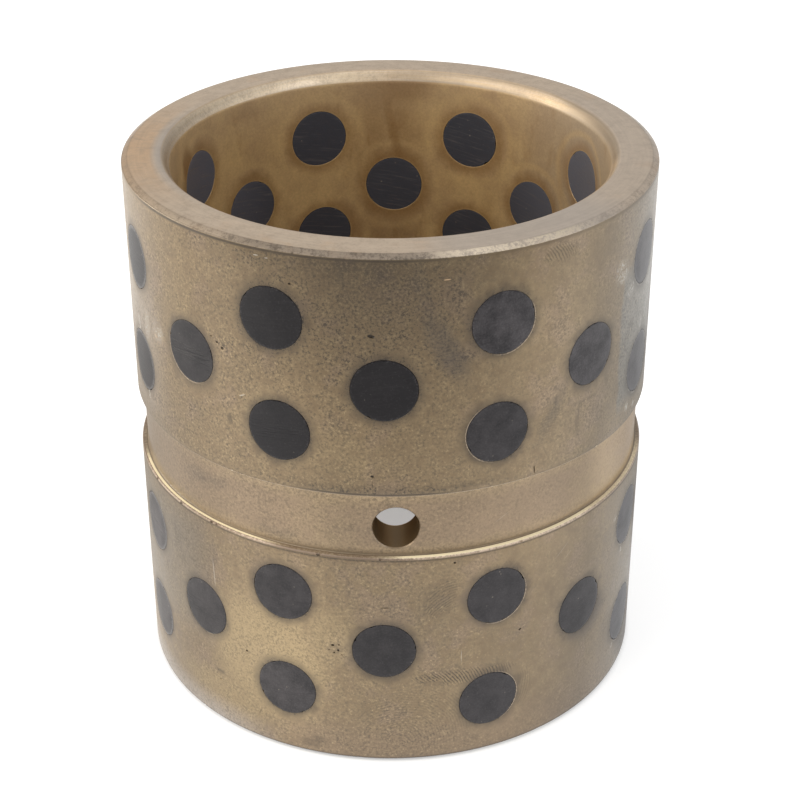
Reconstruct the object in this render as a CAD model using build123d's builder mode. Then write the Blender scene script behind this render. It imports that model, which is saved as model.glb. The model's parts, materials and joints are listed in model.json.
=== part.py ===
"""Graphite plugged bushing: a bronze sleeve with solid graphite plugs through its wall.

The bore runs along +Z, the lower end stands on Z = 0 and the oil hole faces -Y.
All sizes are in millimetres and all angles in degrees.
"""

import os

from build123d import *

# Sleeve, turned from a cast bronze tube
bore_diameter = 70.0
wall_thickness = 7.5
sleeve_length = 90.0

# Shallow bevel round the outer corner of each end
bevel_width = 1.0
bevel_height = 0.6

# Steeper lead-in at each mouth of the bore, which guides the shaft in
lead_in_width = 1.2
lead_in_height = 1.7

# Oil groove round the middle of the outer wall
groove_width = 11.0
groove_depth = 1.0
groove_edge_break = 0.2

# Oil hole from the groove floor through to the bore
oil_hole_diameter = 7.2
oil_hole_drop = 0.6  # how far it was drilled below the middle of the groove

# Graphite plugs, in three staggered rows on each land beside the groove
plug_diameter = 10.0
plugs_per_row = 8
end_to_first_row = 11.6
last_row_to_groove = 9.3
middle_row_shift = 0.8  # how far the middle row lies past halfway, towards the groove
plug_columns_turn = -1.5  # from the oil hole to the nearest column, round the bore axis

# Holes that were drilled off their grid: row, then place, then degrees round and millimetres up
drill_wander = {
    1: {1: (0.6, -0.4), 2: (0.6, 0.3), 4: (-0.8, 0.0), 5: (-0.7, 0.1), 7: (-0.1, -0.6), 8: (-1.1, 0.2)},
    2: {1: (-0.8, 0.3), 2: (0.9, -0.3), 5: (-0.5, 0.6), 8: (0.2, 0.3)},
    3: {1: (-0.1, 0.2), 2: (0.6, -0.1), 4: (-0.9, 0.2), 5: (-1.7, 0.4), 7: (0.5, 0.3), 8: (-0.1, 0.4)},
    4: {1: (0.9, 0.1), 2: (0.7, 0.4), 7: (0.7, -0.4), 8: (-0.7, 0.8)},
    5: {1: (-1.1, 0.4), 2: (1.8, -0.2), 8: (-0.1, 0.1)},
    6: {1: (-0.5, -1.1), 2: (0.7, -0.8), 7: (0.7, 0.6), 8: (-0.4, 0.8)},
}

# Radii and heights that follow from the sizes above
bore_radius = bore_diameter / 2
outer_radius = bore_radius + wall_thickness
groove_floor_radius = outer_radius - groove_depth
groove_middle = sleeve_length / 2
groove_bottom = groove_middle - groove_width / 2
groove_top = groove_middle + groove_width / 2
oil_hole_height = groove_middle - oil_hole_drop
past_wall = outer_radius + wall_thickness  # a cut from the axis this long clears the outer wall

# Height of each row and its turn from the middle rows, which have a plug in line with the oil hole
place_angle = 360 / plugs_per_row
first_row = end_to_first_row
last_row = groove_bottom - last_row_to_groove
middle_row = (first_row + last_row) / 2 + middle_row_shift
lower_land = [(last_row, place_angle / 2), (middle_row, 0), (first_row, place_angle / 2)]
upper_land = [(sleeve_length - height, turn) for height, turn in reversed(lower_land)]
plug_rows = upper_land + lower_land  # numbered from the top


def radial_plane(angle, height):
    """Plane on the bore axis that faces outwards, turned by angle from -Y towards +X."""
    facing = Vector(0, -1, 0).rotate(Axis.Z, angle)
    return Plane(origin=(0, 0, height), z_dir=facing)


def seat_plane(row, place):
    """Plane whose normal is the axis of one plug and of the seat drilled for it."""
    height, stagger = plug_rows[row - 1]
    turn, lift = drill_wander[row].get(place, (0, 0))
    angle = plug_columns_turn + place_angle * (place - 1) + stagger + turn
    return radial_plane(angle, height + lift)


rows = range(1, len(plug_rows) + 1)
places = range(1, plugs_per_row + 1)
seats = {(row, place): seat_plane(row, place) for row in rows for place in places}

# The wall's section, from the lower bore mouth up the bore and back down the outside
section = [
    (bore_radius + lead_in_width, 0),
    (bore_radius, lead_in_height),
    (bore_radius, sleeve_length - lead_in_height),
    (bore_radius + lead_in_width, sleeve_length),
    (outer_radius - bevel_width, sleeve_length),
    (outer_radius, sleeve_length - bevel_height),
    (outer_radius, groove_top + groove_edge_break),
    (outer_radius - groove_edge_break, groove_top),
    (groove_floor_radius, groove_top),
    (groove_floor_radius, groove_bottom),
    (outer_radius - groove_edge_break, groove_bottom),
    (outer_radius, groove_bottom - groove_edge_break),
    (outer_radius, bevel_height),
    (outer_radius - bevel_width, 0),
]

with BuildPart() as sleeve:
    # The turned tube, with its groove and end bevels
    with BuildSketch(Plane.XZ):
        with BuildLine():
            Polyline(*section, close=True)
        make_face()
    revolve(axis=Axis.Z)

    # Seats for the plugs, drilled right through the wall
    with BuildSketch(*seats.values()):
        Circle(plug_diameter / 2)
    extrude(amount=past_wall, mode=Mode.SUBTRACT)

    # The oil hole, in the floor of the groove
    with BuildSketch(radial_plane(0, oil_hole_height)):
        Circle(oil_hole_diameter / 2)
    extrude(amount=past_wall, mode=Mode.SUBTRACT)

sleeve.part.label = "sleeve"

os.makedirs("parts", exist_ok=True)
export_step(sleeve.part, "parts/sleeve.step")

# Each plug fills its seat, and was turned flush with both walls after it was pressed in
upright = (Align.CENTER, Align.CENTER, Align.MIN)

for (row, place), seat in seats.items():
    with BuildPart() as plug:
        with BuildSketch(seat):
            Circle(plug_diameter / 2)
        extrude(amount=past_wall)
        Cylinder(outer_radius, sleeve_length, align=upright, mode=Mode.INTERSECT)
        Cylinder(bore_radius, sleeve_length, align=upright, mode=Mode.SUBTRACT)

    plug.part.label = f"plug_row_{row}_place_{place}"
    export_step(plug.part, f"parts/{plug.part.label}.step")
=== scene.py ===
import json
from math import atan2, ceil, cos, hypot, pi, radians, sin

import bmesh
import bpy
import numpy as np
from mathutils import Matrix, Vector


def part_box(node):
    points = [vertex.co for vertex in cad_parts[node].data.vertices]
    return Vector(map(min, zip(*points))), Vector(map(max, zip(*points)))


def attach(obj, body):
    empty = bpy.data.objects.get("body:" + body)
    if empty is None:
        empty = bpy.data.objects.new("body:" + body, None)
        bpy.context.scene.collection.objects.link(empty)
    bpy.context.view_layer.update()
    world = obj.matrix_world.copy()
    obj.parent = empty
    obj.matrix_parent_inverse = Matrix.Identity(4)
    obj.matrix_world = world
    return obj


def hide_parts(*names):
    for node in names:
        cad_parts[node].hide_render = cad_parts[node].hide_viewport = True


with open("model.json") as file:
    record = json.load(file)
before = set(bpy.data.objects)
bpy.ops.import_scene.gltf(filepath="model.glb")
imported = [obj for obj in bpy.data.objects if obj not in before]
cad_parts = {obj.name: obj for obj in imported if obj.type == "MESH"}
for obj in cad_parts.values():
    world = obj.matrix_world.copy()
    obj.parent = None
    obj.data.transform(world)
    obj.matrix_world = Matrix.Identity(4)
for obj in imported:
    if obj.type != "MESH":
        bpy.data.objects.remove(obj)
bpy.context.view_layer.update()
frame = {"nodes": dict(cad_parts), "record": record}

mm = 0.001
hair = 1e-6  # points nearer than this are taken as one
fullTurn = 2 * pi
mounts = {mount["name"]: mount for mount in frame["record"]["mounts"]}
boreRadius = mounts["bore"]["dims"]["r_mm"] * mm
outerRadius = mounts["outside"]["dims"]["r_mm"] * mm
oilHoleRadius = mounts["oil_hole"]["dims"]["r_mm"] * mm
oilHoleHeight = mounts["oil_hole"]["pos_m"][2]
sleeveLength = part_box("sleeve")[1].z
print("frame loaded:", len(frame["nodes"]), "nodes")


# modelling by hand: selecting, shaping and finishing

def deselectAll():
    if bpy.context.mode != "OBJECT":
        bpy.ops.object.mode_set(mode="OBJECT")
    bpy.ops.object.select_all(action="DESELECT")


def take(piece):
    deselectAll()
    piece.select_set(True)
    bpy.context.view_layer.objects.active = piece


def openMesh(piece):
    take(piece)
    bpy.ops.object.mode_set(mode="EDIT")
    bpy.ops.mesh.select_all(action="DESELECT")


def pickAll():
    bpy.ops.mesh.select_all(action="SELECT")


def closeMesh(turnOutwards=True):
    if turnOutwards:
        pickAll()
        bpy.ops.mesh.normals_make_consistent(inside=False)
    bpy.ops.object.mode_set(mode="OBJECT")


def pick(kind, wanted):
    # selects the vertices, edges or faces that wanted(item, middle) asks for
    mesh = bpy.context.edit_object.data
    bpy.ops.mesh.select_mode(type=kind)
    bpy.ops.mesh.select_all(action="DESELECT")
    net = bmesh.from_edit_mesh(mesh)
    items = {"VERT": net.verts, "EDGE": net.edges, "FACE": net.faces}[kind]
    for item in items:
        corners = [item] if kind == "VERT" else item.verts
        middle = sum((corner.co for corner in corners), Vector()) / len(corners)
        if wanted(item, middle):
            item.select_set(True)
    net.select_flush_mode()
    bmesh.update_edit_mesh(mesh)


def shapeWith(piece, kind, **settings):
    take(piece)
    modifier = piece.modifiers.new("shaping", kind)
    for name, value in settings.items():
        setattr(modifier, name, value)
    bpy.ops.object.modifier_apply(modifier=modifier.name)


def newPiece(name):
    piece = bpy.context.active_object
    bpy.ops.object.transform_apply(location=True, rotation=True, scale=True)
    piece.name = name
    piece.data.name = name
    return piece


def copyOf(piece, name, matrix):
    made = piece.copy()
    made.data = piece.data.copy()
    made.name = made.data.name = name
    made.data.transform(matrix)
    bpy.context.scene.collection.objects.link(made)
    return made


def throwAway(*pieces):
    for piece in pieces:
        bpy.data.objects.remove(piece)


# where the plugs are, read from the frame

def plugNumber(node):
    # 34 is the fourth place in row 3
    parts = node.split("_")
    return int(parts[2] + parts[4])


def plugAxis(node):
    # the area's centre of the plug lies on its own axis; gives its angle from -Y and its height
    mesh = frame["nodes"][node].data
    area = Vector((0, 0, 0))
    weight = 0
    for face in mesh.polygons:
        area += face.center * face.area
        weight += face.area
    area /= weight
    low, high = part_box(node)
    return atan2(area.x, -area.y), (low.z + high.z) / 2


plugNodes = sorted(name for name in frame["nodes"] if name.startswith("plug_"))
plugPlaces = {name: plugAxis(name) for name in plugNodes}
plugRadius = round((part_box(plugNodes[0])[1].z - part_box(plugNodes[0])[0].z) / 2, 4)


# sleeve

sleeveForm = {
    "turnSteps": 480,
    "bevelWidth": 1 * mm,  # outer corner of each end
    "bevelHeight": 0.6 * mm,
    "leadInWidth": 1.2 * mm,  # each bore mouth
    "leadInHeight": 1.7 * mm,
    "grooveWidth": 11 * mm,
    "grooveDepth": 1 * mm,
    "grooveEdge": 0.2 * mm,
    "softCorner": 0.07 * mm,  # what handling rubbed off the corners
    "mouthCorner": 0.45 * mm,  # rounding above and below each lead-in
    "grooveFillet": 0.25 * mm,
    "wallStep": 1.1 * mm,  # longest face on the outer wall, and half the longest in the bore
    "holeSides": 96,
    "seatPlay": 0.02 * mm,  # dark line round each plug
    "seatEdge": 0.05 * mm,
    "oilHoleEdge": 0.16 * mm,
    "pitFacets": 2,  # of the pebble that every pit and nick is cut with
    "pitRoughness": 0.16,
    "pitSeed": 3,
}
grooveLow = (sleeveLength - sleeveForm["grooveWidth"]) / 2
grooveHigh = (sleeveLength + sleeveForm["grooveWidth"]) / 2
floorRadius = outerRadius - sleeveForm["grooveDepth"]


def cutOff(first, second, inside):
    # takes what is selected off, past the line through two points of the section
    along = (Vector(second) - Vector(first)).normalized()
    normal = Vector((-along.y, along.x))
    if normal.dot(Vector(first) - Vector(inside)) < 0:
        normal.negate()
    bpy.ops.mesh.bisect(plane_co=(first[0], 0, first[1]), plane_no=(normal.x, 0, normal.y), clear_outer=True)


def makeSleeve():
    f = sleeveForm
    wall = outerRadius - boreRadius
    middle = (boreRadius + wall / 2, sleeveLength / 2)

    def inGroove(at):
        return grooveLow - hair < at.z < grooveHigh + hair

    # the wall's section, a flat blank that is cut to its outline
    bpy.ops.mesh.primitive_plane_add(size=1, location=(middle[0], 0, middle[1]), rotation=(pi / 2, 0, 0))
    section = bpy.context.active_object
    section.scale = (wall, sleeveLength, 1)
    section = newPiece("sleeve_finish")
    openMesh(section)
    for end, inward in ((0, 1), (sleeveLength, -1)):
        for corner, width, height in ((outerRadius, -f["bevelWidth"], f["bevelHeight"]),
                                      (boreRadius, f["leadInWidth"], f["leadInHeight"])):
            pickAll()
            cutOff((corner + width, end), (corner, end + inward * height), middle)
    for height in (grooveLow, grooveHigh):
        pickAll()
        bpy.ops.mesh.bisect(plane_co=(0, 0, height), plane_no=(0, 0, 1))
    pickAll()
    bpy.ops.mesh.bisect(plane_co=(floorRadius, 0, 0), plane_no=(1, 0, 0))
    pick("FACE", lambda face, at: grooveLow < at.z < grooveHigh and at.x > floorRadius)
    bpy.ops.mesh.delete(type="FACE")
    for edge, side in ((grooveLow, -1), (grooveHigh, 1)):
        pick("FACE", lambda face, at: (at.z - edge) * side > 0)
        cutOff((outerRadius - f["grooveEdge"], edge), (outerRadius, edge + side * f["grooveEdge"]),
               (boreRadius, edge + side * grooveLow / 2))
    pickAll()
    bpy.ops.mesh.dissolve_faces()
    pick("VERT", lambda vert, at: at.x < boreRadius + hair and inGroove(at))
    bpy.ops.mesh.dissolve_verts()

    # a small fillet where the groove's floor meets its sides, and worn corners
    pick("VERT", lambda vert, at: abs(at.x - floorRadius) < hair and inGroove(at))
    bpy.ops.mesh.bevel(offset=f["grooveFillet"], segments=3, affect="VERTICES")
    pick("VERT", lambda vert, at: at.x < boreRadius + f["leadInWidth"] * 1.01)
    bpy.ops.mesh.bevel(offset=f["mouthCorner"], segments=4, affect="VERTICES")
    pick("VERT", lambda vert, at: at.x > boreRadius + f["leadInWidth"] * 2 and not (
        inGroove(at) and floorRadius - hair < at.x < outerRadius - f["grooveEdge"] * 1.5))
    bpy.ops.mesh.bevel(offset=f["softCorner"], segments=2, affect="VERTICES")
    pickAll()
    bpy.ops.mesh.delete(type="ONLY_FACE")

    # shorter steps along the outline, then the turning round the bore
    def steps(edge):
        inBore = all(vert.co.x <= boreRadius + hair for vert in edge.verts)
        return ceil(edge.calc_length() / (f["wallStep"] * (2 if inBore else 1)))
    net = bmesh.from_edit_mesh(section.data)
    for count in sorted({steps(edge) for edge in net.edges} - {1}):
        pick("EDGE", lambda edge, at: steps(edge) == count)
        bpy.ops.mesh.subdivide(number_cuts=count - 1)
    pickAll()
    bpy.ops.mesh.spin(steps=f["turnSteps"], angle=fullTurn, center=(0, 0, 0), axis=(0, 0, 1))
    pickAll()
    bpy.ops.mesh.remove_doubles(threshold=hair)
    closeMesh()
    return section


def plainTube(name, inner, outer):
    # a bare tube that other pieces are fitted to
    half = 20 * mm
    bpy.ops.mesh.primitive_circle_add(vertices=sleeveForm["turnSteps"], radius=inner, location=(0, 0, -half))
    tube = newPiece(name)
    openMesh(tube)
    pickAll()
    bpy.ops.mesh.duplicate()
    bpy.ops.transform.resize(value=(outer / inner, outer / inner, 1), center_override=(0, 0, -half))
    pickAll()
    bpy.ops.mesh.bridge_edge_loops()
    pickAll()
    bpy.ops.mesh.extrude_region_move(TRANSFORM_OT_translate={"value": (0, 0, 2 * half)})
    closeMesh()
    return tube


def barAcrossWall(name, radius, sides, inner, outer, rings=()):
    # a round bar on the -Y side at height 0, its ends drawn onto a tube's two walls
    middle = -(inner + outer) / 2
    spare = 8 * mm
    bpy.ops.mesh.primitive_cylinder_add(vertices=sides, radius=radius, depth=outer - inner + spare,
                                        location=(0, middle, 0), rotation=(pi / 2, 0, 0))
    bar = newPiece(name)
    openMesh(bar)
    for ring in rings:
        pick("FACE", lambda face, at: len(face.verts) == sides)
        bpy.ops.mesh.inset(thickness=ring, use_boundary=True)
    pick("FACE", lambda face, at: len(face.verts) == sides)
    bpy.ops.mesh.poke()
    closeMesh(turnOutwards=False)
    tube = plainTube("fitting_tube", inner, outer)
    for group, side in (("outerEnd", -1), ("boreEnd", 1)):
        ends = bar.vertex_groups.new(name=group)
        ends.add([vert.index for vert in bar.data.vertices if (vert.co.y - middle) * side > 0], 1, "REPLACE")
        shapeWith(bar, "SHRINKWRAP", target=tube, wrap_method="PROJECT", vertex_group=group, use_project_y=True,
                  use_project_z=False, use_negative_direction=side > 0, use_positive_direction=side < 0)
    bar.vertex_groups.clear()
    throwAway(tube)
    return bar


def drillFor(name, radius, inner, outer, edge):
    # what a drill takes out of the wall, with the edge that it breaks at each mouth
    drill = barAcrossWall(name, radius, sleeveForm["holeSides"], inner + edge, outer - edge)
    pastWall = 1.5 * mm
    openMesh(drill)
    for side in (-1, 1):
        for push, grow in ((edge, 1 + edge / radius), (pastWall, 1)):
            pick("FACE", lambda face, at: len(face.verts) == 3 and (at.y + (inner + outer) / 2) * side > 0)
            bpy.ops.mesh.extrude_region_move(TRANSFORM_OT_translate={"value": (0, side * push, 0)})
            bpy.ops.transform.resize(value=(grow, 1, grow), center_override=(0, 0, 0))
    closeMesh()
    return drill


def placeOn(angle, height):
    return Matrix.Translation((0, 0, height)) @ Matrix.Rotation(angle, 4, "Z")


# Every mark below has an angle from the oil hole in degrees, a height, half its width and half its height in mm,
# a tilt in degrees, and then a depth in mm or a strength. First the holes left by the casting, dents and cuts.
pitMarks = (
    (-4.8, 77.4, 0.6, 0.3, -12, 0.3), (-5, 75, 0.26, 0.2, 0, 0.14), (-4.8, 54.1, 0.3, 0.26, 0, 0.2),
    (-4.7, 52.4, 0.07, 1.2, 2, 0.06), (-36.8, 71.5, 0.3, 0.26, 0, 0.22), (-38.1, 72.2, 0.22, 0.2, 0, 0.2),
    (-39.6, 72.9, 0.16, 0.14, 0, 0.14), (-20.7, 84.6, 0.22, 0.2, 0, 0.2), (29.7, 51.7, 0.1, 0.75, 6, 0.15),
    (-34.3, 17.1, 0.22, 0.22, 0, 0.2), (12.2, 38, 0.22, 0.2, 0, 0.2), (27.7, 22.5, 0.28, 0.2, 20, 0.2),
    (-13.6, 22.6, 0.27, 0.22, 0, 0.25), (-12.4, 21.7, 0.2, 0.26, 0, 0.2), (-13.3, 21.2, 0.16, 0.16, 0, 0.2),
    (-12.2, 22.8, 0.15, 0.14, 0, 0.15), (-14.4, 21.6, 0.14, 0.12, 0, 0.15), (-11.6, 20.9, 0.12, 0.12, 0, 0.12),
    (-2.4, 30.4, 0.75, 0.13, 0, 0.1), (-31.5, 5.5, 0.17, 1.8, -24, 0.1), (-42.6, 8.6, 0.3, 0.18, 10, 0.12),
    (-47.2, 58.2, 0.35, 0.12, 30, 0.1), (121, 63.5, 0.7, 0.3, 20, 0.25), (-150, 13, 0.3, 0.3, 0, 0.25),
    (164, 20, 0.35, 0.26, 0, 0.2), (-104, 53, 0.26, 0.35, 0, 0.2), (140, 85, 0.25, 0.2, 0, 0.2),
    (171, 74, 0.2, 0.9, 15, 0.12), (-168, 36, 0.16, 0.16, 0, 0.15), (-103, 16.5, 0.9, 0.12, -20, 0.1),
    (128, 9, 0.2, 0.2, 0, 0.2),
)
# on the groove's shoulders and on the outer corner of the ends
nickMarks = (
    (-65, 39.45, 0.35, 0.35, 0, 0.25), (-53.2, 39.45, 0.42, 0.4, 15, 0.3), (-42.7, 39.5, 0.34, 0.42, -10, 0.32),
    (-41.2, 39.42, 0.26, 0.3, 0, 0.25), (-30.5, 39.5, 0.6, 0.16, 0, 0.2), (-16.3, 39.4, 0.36, 0.4, 10, 0.3),
    (-3.3, 39.5, 0.3, 0.42, 0, 0.35), (7.5, 39.5, 0.5, 0.18, 0, 0.2), (27.2, 39.45, 0.3, 0.26, 0, 0.25),
    (52, 39.5, 0.4, 0.22, 0, 0.25), (-36, 50.6, 0.3, 0.24, 0, 0.2), (20, 50.55, 0.26, 0.2, 0, 0.18),
    (48, 50.6, 0.4, 0.24, 0, 0.2), (104, 39.45, 0.4, 0.3, 0, 0.3), (139, 50.6, 0.35, 0.3, 0, 0.25),
    (-168, 39.45, 0.5, 0.25, 0, 0.3), (-121, 39.45, 0.3, 0.35, 0, 0.3), (-20, 89.6, 0.5, 0.25, 0, 0.2),
    (31, 89.55, 0.7, 0.2, 0, 0.18), (-71, 89.6, 0.4, 0.25, 0, 0.2), (66, 89.6, 0.5, 0.2, 0, 0.2),
    (-8, 0.5, 0.6, 0.3, 0, 0.25), (34, 0.45, 0.8, 0.25, 0, 0.2), (-49, 0.5, 0.4, 0.3, 0, 0.25),
    (152, 89.5, 0.5, 0.3, 0, 0.25), (-134, 0.5, 0.7, 0.3, 0, 0.25),
)


def cutPits():
    # a rough pebble of radius 1 is squeezed to each pit's size
    f = sleeveForm
    bpy.ops.mesh.primitive_ico_sphere_add(subdivisions=f["pitFacets"], radius=1, location=(0, 0, 0))
    pebble = newPiece("pit_tool")
    openMesh(pebble)
    pickAll()
    bpy.ops.transform.vertex_random(offset=f["pitRoughness"], seed=f["pitSeed"])
    closeMesh(turnOutwards=False)
    cuts = []
    for angle, height, halfWidth, halfHeight, tilt, depth in pitMarks + nickMarks:
        squeeze = Matrix.Diagonal((halfWidth * mm, depth * mm, halfHeight * mm, 1))
        onFace = Matrix.Translation((0, -outerRadius, 0)) @ Matrix.Rotation(radians(-tilt), 4, "Y") @ squeeze
        cuts.append(copyOf(pebble, "drill", placeOn(radians(angle), height * mm) @ onFace))
    throwAway(pebble)
    return cuts


def drillSeats(sleeve):
    f = sleeveForm
    seatDrill = drillFor("seat_drill", plugRadius + f["seatPlay"], boreRadius, outerRadius, f["seatEdge"])
    oilDrill = drillFor("oil_drill", oilHoleRadius, boreRadius, floorRadius, f["oilHoleEdge"])
    drills = [copyOf(seatDrill, "drill", placeOn(*place)) for place in plugPlaces.values()]
    drills.append(copyOf(oilDrill, "drill", placeOn(0, oilHoleHeight)))
    drills += cutPits()
    throwAway(seatDrill, oilDrill)
    take(drills[0])
    for drill in drills:
        drill.select_set(True)
    bpy.ops.object.join()
    shapeWith(sleeve, "BOOLEAN", operation="DIFFERENCE", object=drills[0], solver="EXACT")
    throwAway(drills[0])


def points(piece):
    found = np.empty(len(piece.data.vertices) * 3, np.float32)
    piece.data.vertices.foreach_get("co", found)
    return found.reshape(-1, 3)


def writeAttribute(piece, name, values):
    attribute = piece.data.attributes.new(name, "FLOAT", "POINT")
    attribute.data.foreach_set("value", np.asarray(values, np.float32))


# which side of a plug's seat is rubbed bright, in degrees from the way that angles grow towards up
rubbedRims = {28: 225, 11: -35, 31: 190, 41: -40, 61: 10, 54: 60, 35: -120}


def markPlugGap(sleeve):
    # how far each point of the sleeve is from the nearest plug's rim, in mm, and where that rim is rubbed
    farOff = 20.0
    at = points(sleeve)
    nearest = np.full(len(at), farOff)
    worn = np.zeros(len(at))
    for node, (angle, height) in plugPlaces.items():
        axis = np.array([sin(angle), -cos(angle), 0])
        offset = at - np.array([0, 0, height])
        along = offset @ axis
        flat = offset - along[:, None] * axis
        across = np.linalg.norm(flat, axis=1)
        gap = np.where(along > 0, (across - plugRadius) / mm, farOff)
        number = plugNumber(node)
        way = radians(rubbedRims.get(number, 0))
        towards = np.array([cos(angle) * cos(way), sin(angle) * cos(way), sin(way)])
        lie = flat @ towards * (number in rubbedRims) / np.maximum(across, hair)
        worn = np.where(gap < nearest, np.clip(lie * 1.8 - 0.4, 0, 1), worn)
        nearest = np.minimum(nearest, gap)
    writeAttribute(sleeve, "plugGap", nearest)
    writeAttribute(sleeve, "worn", worn)


# soft patches on the walls, painted on the mesh
paintedMarks = {
    "sootAndShade": (
        (9.5, 87.3, 2.1, 1.7, 10, 0.42), (6, 81, 1.2, 6.5, 8, 0.28), (-18.4, 2.6, 2.6, 1.5, 20, 0.45),
        (-42.4, 10.2, 1.2, 0.9, 0, 0.55), (-13.1, 22, 1.9, 1.3, 15, 0.4), (-1, 59.6, 1.5, 0.9, 0, 0.35),
        (-32.7, 66, 0.9, 0.7, 30, 0.5), (-35.7, 59.8, 0.7, 1.2, 0, 0.5), (41, 56.5, 0.8, 2.6, 10, 0.4),
        (-10, 57, 3, 2, 0, 0.18), (23, 84, 3, 1.2, -20, 0.18), (4, 10, 2.5, 1.4, 0, 0.2),
        (150, 71, 3.5, 2.2, 25, 0.4), (-128, 28, 5, 3.4, -15, 0.35), (112, 14, 1.3, 0.8, 10, 0.5),
        (-160, 84, 4.5, 1.8, 5, 0.35), (172, 33, 2.4, 5, -10, 0.3), (-98, 79, 1, 0.8, 0, 0.5),
        (100, 58, 3, 1.5, 15, 0.3), (9, 31.5, 3, 4.6, -20, 0.34), (-51.5, 63.6, 1, 2.6, 30, 0.45),
        (44.6, 19, 2.2, 2.6, 0, 0.35), (50, 63.2, 0.8, 3.4, 6, 0.4), (-47, 86.6, 7, 0.9, 0, 0.3),
        (-24, 86.8, 8, 1.2, 0, 0.34), (13, 72.4, 3, 1, 40, 0.2), (-57, 27, 3.4, 2, 0, 0.25),
        (-24.5, 66.5, 0.9, 0.5, 40, 0.4), (-14, 62.5, 4, 3, 20, 0.22), (44.6, 60.6, 2.4, 0.7, 8, 0.45),
        (41.4, 58.8, 0.35, 2, 4, 0.45), (-21, 2.2, 3.4, 1, 10, 0.32), (-15.6, 3.4, 2, 1, 0, 0.28),
        (33, 48.6, 1.4, 0.5, 0, 0.3), (36, 86.8, 6, 0.7, 0, 0.35),
    ),
    "stained": (  # oil that ran on the bore's wall
        (-107, 83, 2.4, 2.6, 0, 0.85), (-115, 79, 2.4, 6, 0, 0.6), (175, 87.5, 7, 3, 0, 0.55),
        (178.5, 80, 1.2, 8, -14, 0.45), (150, 64, 2, 6, 15, 0.3), (122, 79, 1.6, 7, 0, 0.28),
        (-135, 86.5, 6, 1.6, 0, 0.35), (60, 60, 3, 9, 0, 0.4), (-30, 40, 4, 12, 10, 0.4),
    ),
    "smudgeAndShade": (
        (9.6, 75.2, 2.2, 6.6, 27, 0.62), (12.6, 72.2, 2, 2.6, 15, 0.5), (5, 84, 1.3, 5, 10, 0.3),
        (33.4, 60.2, 1.4, 5.2, -28, 0.42), (30.4, 56, 1.3, 1.6, -28, 0.3), (49, 55, 1.6, 5, 16, 0.26),
        (69.5, 58, 4.6, 3.4, 10, 1), (49, 18, 5.2, 3.6, 22, 0.66), (59, 11, 4, 4.6, 20, 0.34),
        (-44, 58, 2, 6, 24, 0.24), (-52, 33, 6.6, 8, 16, 0.42), (-46.5, 45.8, 6.4, 1.7, 4, 0.36),
        (-25, 41.3, 6, 0.8, 0, 0.36), (-62, 35, 3.5, 6, 0, 0.35), (-68, 72, 4, 14, 0, 0.22), (7, 27, 5, 8, 20, 0.2),
        (24, 20, 5, 9, -24, 0.16), (76, 5, 8, 5, 0, 1), (80, 28.5, 5, 7, 0, 1), (81, 62, 4.2, 12, 0, 0.95),
        (-74, 58, 3, 8, 0, 0.25), (-10, 44, 4, 1, 0, 0.18), (-22, 76.5, 2.4, 6, 30, 0.18),
        (-60.5, 24, 2.6, 6, -14, 0.26), (136, 40, 8, 6, 0, 0.45), (-140, 62, 9, 5, 20, 0.45),
        (160, 12, 7, 5, -15, 0.5), (-104, 30, 6, 9, 10, 0.4), (108, 76, 5, 7, 0, 0.4), (178, 60, 8, 6, 0, 0.35),
    ),
    "golden": (
        (-30, 17, 11, 12.5, 0, 0.9), (-42, 6, 12, 4.6, 0, 0.7), (-14, 24, 5, 6, 0, 0.6), (-27, 61, 5, 6, 0, 0.4),
        (-12, 57, 9, 4.5, 0, 0.35), (27, 78, 4.5, 7, 0, 0.45), (40, 75, 4, 9, 0, 0.35), (52, 44.5, 9, 3.5, 0, 0.45),
        (-15, 45, 7, 3.5, 0, 0.35), (-50, 76, 5, 9, 0, 0.35), (30, 4, 5, 2, 0, 0.2), (125, 30, 9, 12, 0, 0.7),
        (-165, 20, 10, 9, 0, 0.7), (-158, 69, 5.5, 9, 0, 0.95), (-120, 75, 8, 8, 0, 0.6), (150, 60, 9, 9, 0, 0.5),
    ),
}
softness = {"smudgeAndShade": 1.3, "golden": 1.2, "stained": 1.2, "sootAndShade": 0.7, "printed": 0.5}  # of a patch's outline
# the patch that a finger left, then where the middle of its ridges lies, across and up in mm
fingerMarks = (
    ((5, 8.6, 9.5, 5.6, 0, 0.26), (-2.8, -4.6)), ((15, 16.1, 8.4, 1.5, -3, 1), (-17, -9.1)),
    ((9.4, 31.6, 2.2, 4, -24, 0.5), (4, -6)), ((34, 87, 3.2, 1.6, -10, 0.6), (-8, -4)),
    ((12, 73.2, 3, 3.2, 0, 0.16), (0, -4)), ((33, 59.5, 2, 3, 0, 0.18), (0, -5)),
    ((29, 11, 1.6, 3.6, 0, 0.34), (-12, 2)), ((-132, 22, 6.5, 8, 20, 0.7), (0, -4)),
    ((158, 66, 6, 8, -15, 0.6), (2, -5)), ((98, 40, 5, 6, 0, 0.5), (0, -4)),
)


def offsetFrom(at, mark):
    # how far points of the outer wall lie across and up from a mark's middle, in mm
    turned = (np.degrees(np.arctan2(at[:, 0], -at[:, 1])) - mark[0] + 180) % 360 - 180
    return np.radians(turned) * outerRadius / mm, at[:, 2] / mm - mark[1]


def coverOf(at, mark, soft):
    across, up = offsetFrom(at, mark)
    c, s = cos(radians(mark[4])), sin(radians(mark[4]))
    away = np.hypot((across * c + up * s) / mark[2], (up * c - across * s) / mark[3])
    step = np.clip((1 + soft / 2 - away) / soft, 0, 1)
    return mark[5] * step * step * (3 - 2 * step)


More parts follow.
